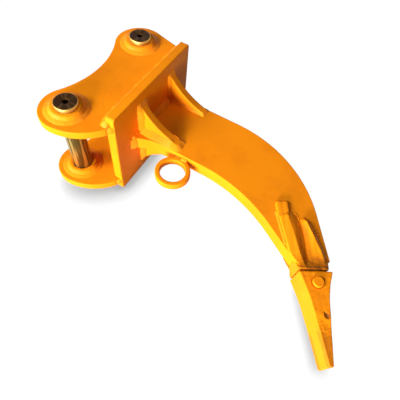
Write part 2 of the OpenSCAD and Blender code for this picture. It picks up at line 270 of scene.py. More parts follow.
def addPiece(name, blocks, material, nodes, crease=40.0):
    # joins the blocks, merges their seams, turns all faces outwards and shades them smooth up to the
    # crease angle
    starts = np.cumsum([0] + [len(points) for points, faces in blocks])
    points = np.concatenate([points for points, faces in blocks]) * mm
    faces = []
    for (blockPoints, parts), start in zip(blocks, starts):
        for part in parts:
            faces.extend((part + start).tolist())
    mesh = bpy.data.meshes.new(name)
    mesh.from_pydata(points.tolist(), [], faces)
    work = bmesh.new()
    work.from_mesh(mesh)
    bmesh.ops.remove_doubles(work, verts=work.verts, dist=2e-6)
    bmesh.ops.recalc_face_normals(work, faces=work.faces)
    work.to_mesh(mesh)
    work.free()
    mesh.shade_smooth()
    mesh.set_sharp_from_angle(angle=math.radians(crease))
    mesh.materials.append(material)
    piece = bpy.data.objects.new(name, mesh)
    bpy.context.scene.collection.objects.link(piece)
    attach(piece, "root")
    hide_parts(*nodes)
    return piece


def addPlate(name, block, node):
    # one block of painted plate in place of its CAD node
    addPiece(name, [block], platePaint, [node])


def addWeld(name, blocks, node):
    # one or more beads in place of their CAD node
    addPiece(name, blocks, weldPaint, [node])


def arc(centre, radius, start, end, steps=24):
    # points at equal angles, in degrees, round centre
    angle = np.radians(np.linspace(start, end, steps))
    return np.array(centre) + radius * np.stack([np.cos(angle), np.sin(angle)], 1)


def outwards(ring):
    # mitre direction at each point of a ring that runs anticlockwise: the mean of its two edge normals,
    # lengthened by one over the cosine of half the turn
    back = ring - np.roll(ring, 1, 0)
    back = back / np.linalg.norm(back, axis=1, keepdims=True)
    ahead = np.roll(back, -1, 0)
    normal = np.stack([back[:, 1], -back[:, 0]], 1)
    mid = normal + np.stack([ahead[:, 1], -ahead[:, 0]], 1)
    mid = mid / np.linalg.norm(mid, axis=1, keepdims=True)
    return mid / np.clip((mid * normal).sum(1, keepdims=True), 0.5, 1)


def plate(outline, low, high, edge, holes=(), axes=(xAxis, yAxis, zAxis)):
    # the outline carried up a profile: flat rim, quarter round of radius edge, wall, quarter round, flat rim;
    # inset is edge times one minus the sine, height is edge times one minus the cosine
    turn = np.linspace(0, np.pi / 2, 5)
    rim = 0.6
    inset = np.concatenate([[edge + rim], edge * (1 - np.sin(turn)), [0]])
    height = np.concatenate([[0], edge * (1 - np.cos(turn)), [edge + rim]])
    inset = np.concatenate([inset, inset[::-1]])
    height = np.concatenate([low + height, high - height[::-1]])
    rings = outline[None] - inset[:, None, None] * outwards(outline)[None]
    grid = np.concatenate([rings, np.broadcast_to(height[:, None, None], rings.shape[:2] + (1,))], 2)
    rows, cols = grid.shape[:2]
    points = grid.reshape(-1, 3)
    faces = [gridFaces(rows, cols, False, True)]
    loops = [[np.arange(cols)], [np.arange(cols) + (rows - 1) * cols]]  # rings round the two flat sides
    for centre, radius in holes:
        wall = arc(centre, radius, 0, 360, 73)[:-1]
        steps = len(wall)
        first = len(points)
        tube = np.stack([np.column_stack([wall, np.full(steps, z)]) for z in (low, high)])
        points = np.concatenate([points, tube.reshape(-1, 3)])
        faces.append(gridFaces(2, steps, False, True) + first)
        loops[0].append(np.arange(steps) + first)
        loops[1].append(np.arange(steps) + first + steps)
    for side in loops:
        index = np.concatenate(side)
        triangles = tessellate_polygon([[Vector(p) for p in points[loop].tolist()] for loop in side])
        faces.append(index[np.array(triangles)])
    return points @ np.array(axes), faces


def lathe(profile, centre=(0.0, 0.0), closed=False, steps=96):
    # a profile of radius and height turned about the Z axis through centre
    profile = np.array(profile, float)
    angle = np.arange(steps) * 2 * np.pi / steps
    radius, height = profile[:, :1], profile[:, 1:]
    grid = np.stack([centre[0] + radius * np.cos(angle), centre[1] + radius * np.sin(angle),
                     np.broadcast_to(height, (len(profile), steps))], -1)
    return skin(grid, wrapRows=closed, capped=False)


def softened(corners, radius, steps=4):
    # a closed profile with each corner cut by a short curve: points of a quadratic through the corner
    corners = np.array(corners, float)
    back = np.roll(corners, 1, 0) - corners
    ahead = np.roll(corners, -1, 0) - corners
    backLength = np.linalg.norm(back, axis=1, keepdims=True)
    aheadLength = np.linalg.norm(ahead, axis=1, keepdims=True)
    reach = np.minimum(radius, 0.45 * np.minimum(backLength, aheadLength))
    start = corners + back / backLength * reach
    end = corners + ahead / aheadLength * reach
    t = np.linspace(0, 1, steps)[None, :, None]
    curve = (1 - t) ** 2 * start[:, None] + 2 * t * (1 - t) * corners[:, None] + t ** 2 * end[:, None]
    return curve.reshape(-1, 2)


beadLook = {"pitch": 3.4, "ripple": 0.10, "bulge": 1.35, "sink": 0.4, "uneven": 1.0}
calmBead = dict(beadLook, ripple=0.05, bulge=1.2)
footBead = dict(beadLook, ripple=0.03, bulge=1.0)
coneBead = dict(beadLook, ripple=0.0, bulge=1.12, uneven=0.35)


def bead(path, sideA, sideB, legA, legB, look=beadLook, closed=False, phase=0.0):
    # weld bead: a bulged corner section carried along the path, one leg along each side; the section swells
    # by a parabola over each ripple, with ripple fronts that bow along the path, and closes to a round stop
    # at free ends
    path = np.array(path, float)
    count = len(path)
    sideA = np.broadcast_to(np.array(sideA, float), (count, 3))
    sideB = np.broadcast_to(np.array(sideB, float), (count, 3))
    legA = np.broadcast_to(np.array(legA, float), (count,))[:, None]
    legB = np.broadcast_to(np.array(legB, float), (count,))[:, None]
    drift = np.linalg.norm(np.diff(path + 0.6 * legA * sideA, axis=0), axis=1)
    s = np.concatenate([[0], np.cumsum(drift)])
    length = s[-1] + (drift.mean() if closed else 0)
    pitch = length / max(1, round(length / look["pitch"]))
    t = np.linspace(0, 1, 10)[None]
    x = np.cos(t * np.pi / 2) ** (2 / look["bulge"])
    y = np.sin(t * np.pi / 2) ** (2 / look["bulge"])
    wave = ((s[:, None] + 0.45 * pitch * np.sin(np.pi * t)) / pitch + phase) % 1
    turns = 2 * np.pi * s[:, None] / length
    slow = 0.05 * np.sin(round(length / 23) * turns + 5 * phase)
    quick = 0.03 * np.sin(round(length / 9) * turns + 9 * phase)
    size = 1 + look["ripple"] * (4 * wave * (1 - wave) - 0.6) + look["uneven"] * (slow + quick)
    if not closed:
        stop = np.minimum(0.7 * np.minimum(legA[:, 0], legB[:, 0]), 0.3 * length)
        near = np.clip(np.minimum(s, length - s) / stop, 0, 1)
        size = size * (0.12 + 0.88 * np.sqrt(1 - (1 - near) ** 2))[:, None]
    top = path[:, None] + (size * x * legA)[..., None] * sideA[:, None]
    top = top + (size * y * legB)[..., None] * sideB[:, None]
    root = path - look["sink"] * (sideA + sideB)
    return skin(np.concatenate([root[:, None], top], 1), wrapRows=closed)


def line(start, end, step=0.6):
    # points at equal steps on a straight line
    start, end = np.array(start, float), np.array(end, float)
    t = np.linspace(0, 1, max(2, int(np.linalg.norm(end - start) / step) + 1))[:, None]
    return start + t * (end - start)


def cornered(corners, sides, step=0.6, swing=7):
    # a path of straight legs through the corners; the side direction stays on each leg and swings round
    # the corners
    paths, turned = [], []
    for i, side in enumerate(sides):
        leg = line(corners[i], corners[i + 1], step)
        paths.append(leg)
        turned.append(np.broadcast_to(side, leg.shape))
        if i + 1 < len(sides):
            share = np.linspace(0, 1, swing + 2)[1:-1, None] * np.pi / 2
            turned.append(np.cos(share) * side + np.sin(share) * sides[i + 1])
            paths.append(np.broadcast_to(np.array(corners[i + 1], float), (swing, 3)))
    return np.concatenate(paths), np.concatenate(turned)


# ears

earLow, earHigh = (corner[2] for corner in span("upper_ear"))
plateLow, plateHigh = span("base_plate")
backX, frontX, nearY = plateLow[0], plateHigh[0], plateLow[1]
earLook = {"lobe": 33.0, "spacing": 146.0, "waist": 13.5, "nearRadius": 70.0, "nearAngle": -85.0,
           "farAngle": 14.0, "bush": 18.0, "edge": 1.1}
heelX = span("upper_ear")[1][0]


def earOutline(look):
    # stick lobe, waist arc, link lobe, straight far edge, plate line, heel and near arc; the arcs are tangent
    # to each other
    lobe, spacing = look["lobe"], look["spacing"]
    waistRadius = ((spacing / 2) ** 2 + look["waist"] ** 2 - lobe ** 2) / (2 * (lobe - look["waist"]))
    waistCentre = (-waistRadius - look["waist"], spacing / 2)
    lean = math.degrees(math.atan2(spacing / 2, waistRadius + look["waist"]))
    nearAngle = math.radians(look["nearAngle"])
    offset = look["nearRadius"] - lobe
    nearCentre = (-offset * math.cos(nearAngle), -offset * math.sin(nearAngle))
    heelAngle = math.degrees(-math.acos((heelX - nearCentre[0]) / look["nearRadius"]))
    far = math.radians(look["farAngle"])
    farY = spacing + (lobe - backX * math.sin(far)) / math.cos(far)
    outline = np.concatenate([
        arc(nearCentre, look["nearRadius"], heelAngle, look["nearAngle"], 28)[:-1],
        arc((0, 0), lobe, look["nearAngle"], -180 - lean, 40)[:-1],
        arc(waistCentre, waistRadius, -lean, lean, 40)[:-1],
        arc((0, spacing), lobe, 180 + lean, 90 - look["farAngle"], 40),
        [(backX, farY), (backX, nearY), (heelX, nearY)]])
    return outline[::-1], farY


scuffLook = {"centre": (0.0586, 0.0568), "radius": 0.0414, "wide": 0.0004, "from": 0.022, "to": 0.056,
             "fade": 0.004, "share": 0.45, "tint": (0.45, 0.115, 0.004, 1.0)}  # metres


def earScuff(f, where, fine):
    # one faint rub: where the distance to a centre is near a radius, over a stretch of y, broken up by noise
    look = scuffLook
    x, y = f.split(where)[:2]
    stretch = f.band(y, look["from"], look["from"] + look["fade"])
    stretch = stretch * f.band(y, look["to"], look["to"] - look["fade"])
    x = x - look["centre"][0]
    y = y - look["centre"][1]
    off = f.math("ABSOLUTE", f.math("SQRT", x * x + y * y) - look["radius"])
    mask = (1 - f.band(off, 0.3 * look["wide"], look["wide"])) * stretch * f.band(fine, 0.35, 0.55)
    return mask * look["share"], look["tint"]


earPaint = paintFinish("earPaint", paintLook, paintKinds["plate"], earScuff)
earShape, earFarY = earOutline(earLook)
pins = {"stick": (0.0, 0.0), "link": (0.0, earLook["spacing"])}
earBlock = plate(earShape, earLow, earHigh, earLook["edge"],
                 [(centre, earLook["bush"]) for centre in pins.values()])
for level, turn in levels.items():
    addPiece(level + "Ear", [turn(earBlock)], earPaint, [level + "_ear"])
print("ears made")


# bushes, their welds and the pins

bushLook = {"inner": 12.75, "lip": 1.2, "settle": 1.6}  # top stands this much lower than the solid's
coneLook = {"out": 8.7, "up": 5.2, "down": 3.5, "pass": 0.62}  # two passes of weld, the first one narrower
pinLook = {"radius": 12.5, "head": 14.0, "thick": 5.3, "chamfer": 1.2, "endChamfer": 2.0,
           "bore": 3.4, "boreMouth": 4.5, "boreDepth": 16.0}
bushLow, bushHigh = span("upper_stick_bush")
bushOuter, bushTop = bushHigh[0], bushHigh[2] - bushLook["settle"]
bushProfile = softened([(bushLook["inner"], bushLow[2]), (bushOuter, bushLow[2]),
                        (bushOuter, bushTop), (bushLook["inner"], bushTop)], bushLook["lip"])
pinFoot, pinTop = (corner[2] for corner in span("stick_pin"))


def pinOutline(look):
    # half section of a headed pin from the foot's centre round to the bottom of the hole in its head
    shaft, head = look["radius"], look["head"]
    rim = pinTop - look["chamfer"]
    seat = pinTop - look["thick"] - 0.2
    return [(0, pinFoot), (shaft - look["endChamfer"], pinFoot), (shaft - 0.3, pinFoot + 1.7),
            (shaft, pinFoot + 2.3), (shaft, seat), (head - 0.2, seat), (head, seat + 0.3),
            (head, rim - 0.2), (head - 0.2, rim + 0.2), (head - look["chamfer"], pinTop - 0.1),
            (head - look["chamfer"] - 0.4, pinTop), (look["boreMouth"] + 0.2, pinTop),
            (look["boreMouth"], pinTop - 0.1), (look["bore"], pinTop - look["chamfer"]),
            (look["bore"], pinTop - look["boreDepth"]), (0, pinTop - look["boreDepth"] - 2)]


ringAngle = np.radians(np.arange(0, 360, 1.25))
ringOut = np.stack([np.cos(ringAngle), np.sin(ringAngle), 0 * ringAngle], 1)


def coneWeld(loop, up, height, look):
    # two closed beads on one root: a narrow one up the bush, and a wide low one that its toe runs out on
    narrow = bead(loop, ringOut, up, look["pass"] * look["out"], height, coneBead, True, 0.2)
    wide = bead(loop, ringOut, up, look["out"], look["pass"] * height, coneBead, True, 0.55)
    return [narrow, wide]


for name, centre in pins.items():
    label = name.capitalize()
    loop = np.array([centre[0], centre[1], 0.0]) + bushOuter * ringOut
    bushBlock = lathe(bushProfile, centre, closed=True)
    welds = coneWeld(loop + earHigh * zAxis, zAxis, coneLook["up"], coneLook)
    welds = welds + coneWeld(loop + earLow * zAxis, -zAxis, coneLook["down"], coneLook)
    for level, turn in levels.items():
        addPlate(level + label + "Bush", turn(bushBlock), f"{level}_{name}_bush")
        addWeld(level + label + "BushWeld", [turn(weld) for weld in welds], f"{level}_{name}_bush_welds")
    addPiece(name + "Pin", [lathe(pinOutline(pinLook), centre, steps=128)],
             stickSteel if name == "stick" else linkSteel, [name + "_pin"], crease=30)
print("bushes and pins made")


# base plate and the ear welds on it

boardLook = {"corner": 4.0, "edge": 1.4}
boardHalf = (plateHigh - plateLow)[1:] / 2 - boardLook["corner"]
boardShape = np.concatenate([
    arc(boardHalf * sign, boardLook["corner"], start, start + 90, 8)
    for sign, start in (((1, 1), 0), ((-1, 1), 90), ((-1, -1), 180), ((1, -1), 270))])
boardPoints, boardFaces = plate(boardShape, backX, frontX, boardLook["edge"], axes=(yAxis, zAxis, xAxis))
addPlate("basePlate", (boardPoints + (plateLow[1] + plateHigh[1]) / 2 * yAxis, boardFaces), "base_plate")

earWeldLook = {"leg": 8.0, "turnLeg": 5.5, "heelLeg": 5.0}
seam, seamSide = cornered([(backX, earFarY - 1, earHigh), (backX, nearY, earHigh), (heelX, nearY, earHigh)],
                          [-xAxis, -yAxis])
heelSeam = line((heelX, nearY, earLow), (heelX, nearY, earHigh))
seamLeg = np.interp(seam[:, 1], [nearY, nearY + 12], [earWeldLook["turnLeg"], earWeldLook["leg"]])
earWelds = [bead(seam, seamSide, zAxis, seamLeg, seamLeg, calmBead),
            bead(heelSeam, xAxis, -yAxis, earWeldLook["heelLeg"], earWeldLook["heelLeg"])]
for level, turn in levels.items():
    addWeld(level + "EarWeld", [turn(weld) for weld in earWelds], level + "_ear_weld")
print("base plate made")


# shank

shankLook = {"rootMid": 90.5, "width": 88.0, "flare": 70.0, "flareLength": 37.0, "edge": 0.9,
             "bendIn": 203.0, "turnIn": 32.0, "startIn": 153.5, "bendOut": 170.0, "turnOut": 56.0,
             "startOut": 162.5, "toRim": 71.0, "offRim": 22.0, "end": -14.0, "toothTurn": 61.0}
shankHalf = span("shank")[1][2]


def heading(angle):
    # unit direction at an angle below +X, in degrees
    return np.array([math.cos(math.radians(angle)), -math.sin(math.radians(angle))])


inY = shankLook["rootMid"] - shankLook["width"] / 2
outY = shankLook["rootMid"] + shankLook["width"] / 2
along = heading(shankLook["toothTurn"])  # tooth axis
across = np.array([-along[1], along[0]])  # towards the back of the tooth
inCurve = arc((shankLook["startIn"], inY - shankLook["bendIn"]), shankLook["bendIn"],
              90, 90 - shankLook["turnIn"], 40)
outCurve = arc((shankLook["startOut"], outY - shankLook["bendOut"]), shankLook["bendOut"],
               90 - shankLook["turnOut"], 90, 60)
inDir, outDir = heading(shankLook["turnIn"]), heading(shankLook["turnOut"])
rim = outCurve[0] + shankLook["toRim"] * outDir - shankLook["offRim"] * np.array([-outDir[1], outDir[0]])


def toEnd(point, direction):
    # where a straight edge meets the square end of the shank
    return point + direction * (shankLook["end"] - (point - rim) @ along) / (direction @ along)


flareStart = math.degrees(math.acos(-shankLook["flareLength"] / shankLook["flare"]))
flareCurve = arc((frontX + shankLook["flareLength"], inY - shankLook["flare"]), shankLook["flare"],
                 flareStart, 90, 20)
shankShape = np.concatenate([flareCurve, inCurve, [toEnd(inCurve[-1], inDir), toEnd(outCurve[0], outDir)],
                             outCurve, [(frontX, outY)]])
addPlate("shank", plate(shankShape, -shankHalf, shankHalf, shankLook["edge"]), "shank")
print("shank made")


# gussets, with a bead round each foot and round each plate edge; the beads run on into the plates they meet

gussetLook = {"thick": 10.0, "tall": 38.0, "long": 54.0, "toe": 3.0, "sag": 5.0, "edge": 0.8,
              "inner": inY + 8.0, "outer": outY - 13.0}
gussetLegs = {"inner": 6.0, "outer": 3.5}
footLegs = {"inner": (7.6, 6.5), "outer": (3.0, 3.0)}  # out and up


def gussetOutline(look):
    # a right angle with blunt ends and a concave free edge, an arc through both blunt ends
    tall, far = look["tall"] - look["toe"], look["long"] - look["toe"]
    chord = math.hypot(tall, far)
    radius = chord ** 2 / (8 * look["sag"]) + look["sag"] / 2
    normal = np.array([tall, far]) / chord
    middle = np.array([look["long"] + look["toe"], look["tall"] + look["toe"]]) / 2
    facing = math.degrees(math.atan2(-normal[1], -normal[0])) % 360
    half = math.degrees(math.asin(chord / 2 / radius))
    sag = arc(middle + (radius - look["sag"]) * normal, radius, facing + half, facing - half, 30)
    return np.concatenate([[(0, 0), (look["long"], 0)], sag, [(0, look["tall"])]])


gussetShape = gussetOutline(gussetLook)
thick, toe = gussetLook["thick"], gussetLook["toe"]
toeX, topZ = frontX + gussetLook["long"], shankHalf + gussetLook["tall"]
for name, leg in gussetLegs.items():
    y = gussetLook[name]
    points, faces = plate(gussetShape, -y - thick, -y, gussetLook["edge"], axes=(xAxis, zAxis, -yAxis))
    body = (points + [frontX, 0, shankHalf], faces)
    foot, footSide = cornered([(frontX - 5, y, shankHalf), (toeX, y, shankHalf), (toeX, y + thick, shankHalf),
                               (frontX - 5, y + thick, shankHalf)], [-yAxis, xAxis, yAxis])
    wall, wallSide = cornered([(frontX, y, shankHalf - 4), (frontX, y, topZ), (frontX, y + thick, topZ),
                               (frontX, y + thick, shankHalf - 4)], [-yAxis, zAxis, yAxis])
    footOut, footUp = footLegs[name]
    toeLeg = np.interp(foot[:, 0], [toeX - 9, toeX], [footUp, min(footUp, toe)])
    footLeg = np.interp(foot[:, 1], [y, y + 0.5 * thick, y + thick], [footOut, leg, leg])
    topLeg = np.interp(wall[:, 2], [topZ - 6, topZ], [leg, min(leg, toe)])
    welds = [bead(foot, footSide, zAxis, footLeg, toeLeg, footBead, phase=0.3),
             bead(wall, wallSide, xAxis, leg, topLeg)]
    for level, turn in levels.items():
        label = level + name.capitalize() + "Gusset"
        addPlate(label, turn(body), f"{level}_{name}_gusset")
        addWeld(label + "Weld", [turn(weld) for weld in welds], f"{level}_{name}_gusset_weld")
print("gussets made")


# shank root welds

rootLeg = 6.0
sideLeg = 0.55 * rootLeg  # beside the inner gussets
flareY = flareCurve[0][1]
flareDir = np.array([math.sin(math.radians(flareStart)), -math.cos(math.radians(flareStart)), 0.0])
rootSpans = [(gussetLook["inner"] + thick + gussetLegs["inner"] - 1,
              gussetLook["outer"] - gussetLegs["outer"] + 1, rootLeg),
             (flareY - 1, gussetLook["inner"], sideLeg)]  # start, end and leg
rootWelds = [bead(line((frontX, start, shankHalf), (frontX, end, shankHalf)), xAxis, zAxis, leg, leg)
             for start, end, leg in rootSpans]
for level, turn in levels.items():
    addWeld(level + "ShankWeld", [turn(weld) for weld in rootWelds], level + "_shank_weld")
addWeld("innerShankWeld", [bead(line((frontX, flareY, -shankHalf), (frontX, flareY, shankHalf)),
                                -yAxis, flareDir, rootLeg, rootLeg)], "inner_shank_weld")
addWeld("outerShankWeld", [bead(line((frontX, outY, -shankHalf), (frontX, outY, shankHalf)),
                                yAxis, xAxis, rootLeg, rootLeg)], "outer_shank_weld")


# lifting ring

ringLook = {"inner": 16.0, "lip": 1.3, "leg": 7.0, "bridge": 3.5, "cap": (4.2, 2.0)}
ringLow, ringHigh = span("lifting_ring")
ringCentre = (ringLow + ringHigh)[:2] / 2
ringOuter, ringHalf = (ringHigh - ringLow)[0] / 2, ringHigh[2]
ringProfile = softened([(ringLook["inner"], -ringHalf), (ringOuter, -ringHalf), (ringOuter, ringHalf),
                        (ringLook["inner"], ringHalf)], ringLook["lip"])
addPlate("liftingRing", lathe(ringProfile, ringCentre, closed=True), "lifting_ring")
ringWelds = []
for side in (-1, 1):
    foot = ringCentre[0] + side * 2.5
    ringWelds.append(bead(line((foot, inY, -ringHalf), (foot, inY, ringHalf), 0.4), side * xAxis,
                          np.array([side * 0.62, -0.78, 0]), ringLook["leg"], 0.55 * ringLook["leg"],
                          dict(beadLook, pitch=4.5, bulge=1.7)))
ringWelds.append(bead(line((ringCentre[0] - 4, inY, 0), (ringCentre[0] + 4, inY, 0), 0.4), -yAxis, zAxis,
                      1.6, ringLook["bridge"], dict(beadLook, bulge=2)))
for lid in (-ringHalf, ringHalf):
    ringWelds.append(bead(line((ringCentre[0] - 1, inY, lid), (ringCentre[0] + 8, inY, lid), 0.4), -yAxis,
                          zAxis * np.sign(lid), *ringLook["cap"], dict(beadLook, bulge=1.4)))
addWeld("ringWeld", ringWelds, "ring_weld")
print("lifting ring made")


# adapter and tooth, worked out along the tooth's axis from its rim

def fromRim(local):
    # u along the tooth's axis, v across it, z up, to the part's own frame
    u, v, z = local[..., 0], local[..., 1], local[..., 2]
    x = rim[0] + u * along[0] + v * across[0]
    y = rim[1] + u * along[1] + v * across[1]
    return np.stack([x, y, z], -1)


def step(x, low, high):
    # smooth step from 0 at low to 1 at high
    t = np.clip((x - low) / (high - low), 0, 1)
    return t * t * (3 - 2 * t)


def rimPlace(f, where):
    # the same frame for a finish: distances along and across the tooth's axis, in millimetres
    x, y, z = f.split(where)
    x, y, z = x * 1000 - rim[0], y * 1000 - rim[1], z * 1000
    return x * along[0] + y * along[1], x * across[0] + y * across[1], z


# how strongly and where the adapter and tooth are darkened: painted shade in the channel and the pocket,
# darker brown at the rim and towards the tip
castDarkening = {"collar": 0.62, "channel": 0.45, "pocket": 0.95, "recess": 0.42, "recessAt": (56.0, 66.0),
            "pocketAt": (45.4, 3.8), "pocketLean": 0.45, "pocketPull": (0.27, 0.31),
            "tint": (0.22, 0.058, 0.008, 1.0)}


def rimDarkeningAndChannelShade(f, where, fine):
    # darker brown towards the rim, and painted shade along the channel between the straps
    u, v, z = rimPlace(f, where)
    nearRim = f.band(u, -24.0, -9.0) * (0.35 + 0.65 * f.band(v, -13.0, -8.0))
    nearRim = nearRim * (1 + 0.5 * f.band(u, -7.0, -4.5))
    # painted shade along the channel between the straps
    channel = f.band(v + u * 0.14, -18.5, -14.0) * f.band(v + u * 0.02, 1.0, -3.0)
    channel = channel * f.band(u, -62.0, -50.0)
    mask = f.math("MAXIMUM", nearRim * castDarkening["collar"], channel * castDarkening["channel"])
    face = f.band(f.math("ABSOLUTE", z), 9.0, 10.0) * f.band(v, -19.5, -17.0)
    return mask * face * (0.3 + 0.7 * f.band(fine, 0.30, 0.62)), castDarkening["tint"]


def pocketShadeAndBrownTip(f, where, fine):
    # painted shade in the notch's pocket, from the distance to its middle in a slanted frame, and a browner
    # face towards the tip
    u, v, z = rimPlace(f, where)
    side = v - castDarkening["pocketAt"][1]
    down = (u - castDarkening["pocketAt"][0] - side * castDarkening["pocketLean"]) * castDarkening["pocketPull"][0]
    side = side * castDarkening["pocketPull"][1]
    # painted shade: the pocket is darkened where shadow falls in it
    pocket = 1 - f.band(f.math("SQRT", down * down + side * side), 0.45, 1.25)
    recess = f.band(u - v * 0.4, *castDarkening["recessAt"]) * (0.5 + 0.5 * f.band(fine, 0.30, 0.60))
    mask = f.math("MAXIMUM", pocket * castDarkening["pocket"], recess * castDarkening["recess"])
    return mask * f.band(f.math("ABSOLUTE", z), 7.0, 9.0), castDarkening["tint"]


adapterPaint = paintFinish("adapterPaint", paintLook, paintKinds["cast"], rimDarkeningAndChannelShade)
toothPaint = paintFinish("toothPaint", paintLook, paintKinds["cast"], pocketShadeAndBrownTip)
castRandom = np.random.default_rng(11)
castWaves = [(2 * np.pi / castRandom.uniform(5.0, 16.0), castRandom.uniform(0, np.pi),
              castRandom.uniform(0, 7)) for i in range(16)]  # waves a millimetre, direction and shift


def lumpy(u, v, size):
    # cast unevenness: the mean of sine waves of many lengths and directions
    waves = [np.sin(pull * (u * math.cos(angle) + v * math.sin(angle)) + shift)
             for pull, angle, shift in castWaves]
    return size * sum(waves) / math.sqrt(len(waves) / 2)


def boxLoft(u, vLow, vHigh, half, corner, flat=24, side=12, bend=5):
    # rounded rectangles carried along u: each ring runs along the top face, down the front, along the bottom
    # and up the back, with a quarter round at each corner
    u, vLow, vHigh, half, corner = (np.array(a, float)[:, None]
                                    for a in np.broadcast_arrays(u, vLow, vHigh, half, corner))
    t, n = np.linspace(0, 1, flat)[None], np.linspace(0, 1, side)[None]
    a = np.linspace(0, np.pi / 2, bend + 2)[None, 1:-1]
    low, high, lid = vLow + corner, vHigh - corner, half - corner
    v = [high + t * (low - high), low - corner * np.sin(a), vLow + 0 * n, low - corner * np.cos(a),
         low + t * (high - low), high + corner * np.sin(a), vHigh + 0 * n, high + corner * np.cos(a)]
    z = [half + 0 * t, lid + corner * np.cos(a), lid - 2 * n * lid, -lid - corner * np.sin(a),
         -half + 0 * t, -lid - corner * np.cos(a), -lid + 2 * n * lid, lid + corner * np.sin(a)]
    v, z = np.concatenate(v, 1), np.concatenate(z, 1)
    return np.stack([u + 0 * v, v, z], -1)


adapterLook = {"base": 8.7, "front": -2.0, "corner": 2.2, "lumps": 0.15,
               "collarAt": [-14.0, -13.5, -9.0, -4.5, -3.6, -2.5, -2.1, -2.0],
               "collarHalf": [10.3, 10.7, 12.9, 15.6, 16.0, 16.0, 15.9, 15.8],
               "collarInset": [0.7, 0.1, 0.0, 0.0, 0.0, 0.0, 0.1, 0.2],
               "collarLow": (-20.0, -18.4), "collarHigh": (18.4, 14.8),  # sides at its back and front
               "noseDepth": [13.0, 6.0, 5.0], "noseHalf": [11.0, 9.0, 8.0], "noseEnd": (31.0, 32.0)}
softening = np.array([1, 2, 3, 4, 3, 2, 1]) / 16


def ridge(u, at, high, look):
    # a strap on the shank's face: each section runs straight from point to point, given as places across and
    # heights over the face, and a moving mean along the section rounds its corners
    at = np.stack([np.broadcast_to(a, u.shape) for a in at], 1)[..., None]
    high = np.stack([np.broadcast_to(a, u.shape) for a in high], 1)[..., None]
    v = at[:, 0] + np.linspace(0, 1, 72) * (at[:, -1] - at[:, 0])
    legs = [np.clip((v - at[:, i]) / (at[:, i + 1] - at[:, i]), 0, 1) * (high[:, i + 1] - high[:, i])
            for i in range(at.shape[1] - 1)]
    rise = high[:, 0] + sum(legs)
    padded = np.pad(rise, ((0, 0), (3, 3)), "edge")
    rise = sum(share * padded[:, i:i + 72] for i, share in enumerate(softening))
    wide = u[:, None] + 0 * v
    z = look["base"] + rise + lumpy(0.35 * wide, v, look["lumps"]) * step(rise, 0.5, 2.5)
    return skin(fromRim(np.stack([wide, v, z], -1)))


def course(u, curve):
    # straight runs between the given places along u
    return np.interp(u, *curve)


longLook = {"wall": 1.2, "start": (-75, -66.5),  # places along u, then across or heights
            "foot": ([-76, -22, -3], [-33, -25, -16]),
            "crest": ([-67, -42, -20, -3], [-20.6, -16.6, -13.2, -10]),
            "edge": ([-76, -73.5, -65, -54, -40, -3], [-14, -11.5, -7.2, -4.6, -3.6, -4]),
            "wallHigh": ([-20, -3], [3.1, 6.6]),
            "crestHigh": ([-30, -14, -3], [5.2, 5.4, 7.2])}
longU = np.linspace(-76, -2.6, 150)
longFoot = course(longU, longLook["foot"])
longFull = 0.5 + 0.5 * step(longU, *longLook["start"])
longStrap = ridge(longU, [longFoot, longFoot + longLook["wall"], course(longU, longLook["crest"]),
                          course(longU, longLook["edge"])],
                  [0, course(longU, longLook["wallHigh"]) * longFull,
                   course(longU, longLook["crestHigh"]) * longFull, 0], adapterLook)

tabLook = {"middle": -24.8, "half": 8.4, "high": 3.8, "round": (-84.5, 4.001)}  # the long strap's flat end
tabU = np.linspace(-88.5, -66, 60)
tabRound = np.sqrt(1 - np.clip((tabLook["round"][0] - tabU) / tabLook["round"][1], 0, 1) ** 2)
tabMid, tabHalf = tabLook["middle"], tabLook["half"] * (0.45 + 0.55 * tabRound)
tabHigh = tabLook["high"] * (0.1 + 0.9 * tabRound)
tab = ridge(tabU, [tabMid - tabHalf, tabMid - tabHalf + 1.5, tabMid + tabHalf - 2.5, tabMid + tabHalf],
            [0, 0.85 * tabHigh, tabHigh, 0], adapterLook)

shortLook = {"wall": 1.6, "wallHigh": 2.6, "start": (-70, -58),
             "foot": ([-67, -64, -51, -40, -3], [-3, -5.8, -4, -3.2, -4]),
             "crest": ([-67, -63.6, -50.5, -39.4, -26.6, -17, -8.5, -3],
                       [-1, -1.5, 1.8, 5.7, 9.2, 12, 13, 12.4]),
             "edge": ([-67, -63.5, -54, -42.6, -31.5, -20, -14, -3],
                      [2, 6.5, 10.2, 13.4, 16.3, 18.2, 17.8, 14.5]),
             "crestHigh": ([-40, -24, -12, -3], [6.3, 6.0, 5.0, 4.0])}
shortU = np.linspace(-66.8, -2.6, 130)
shortFoot = course(shortU, shortLook["foot"])
shortFull = step(shortU, *shortLook["start"])
shortStrap = ridge(shortU, [shortFoot, shortFoot + shortLook["wall"], course(shortU, shortLook["crest"]),
                            course(shortU, shortLook["edge"])],
                   [0, shortLook["wallHigh"] * shortFull,
                    course(shortU, shortLook["crestHigh"]) * shortFull, 0], adapterLook)

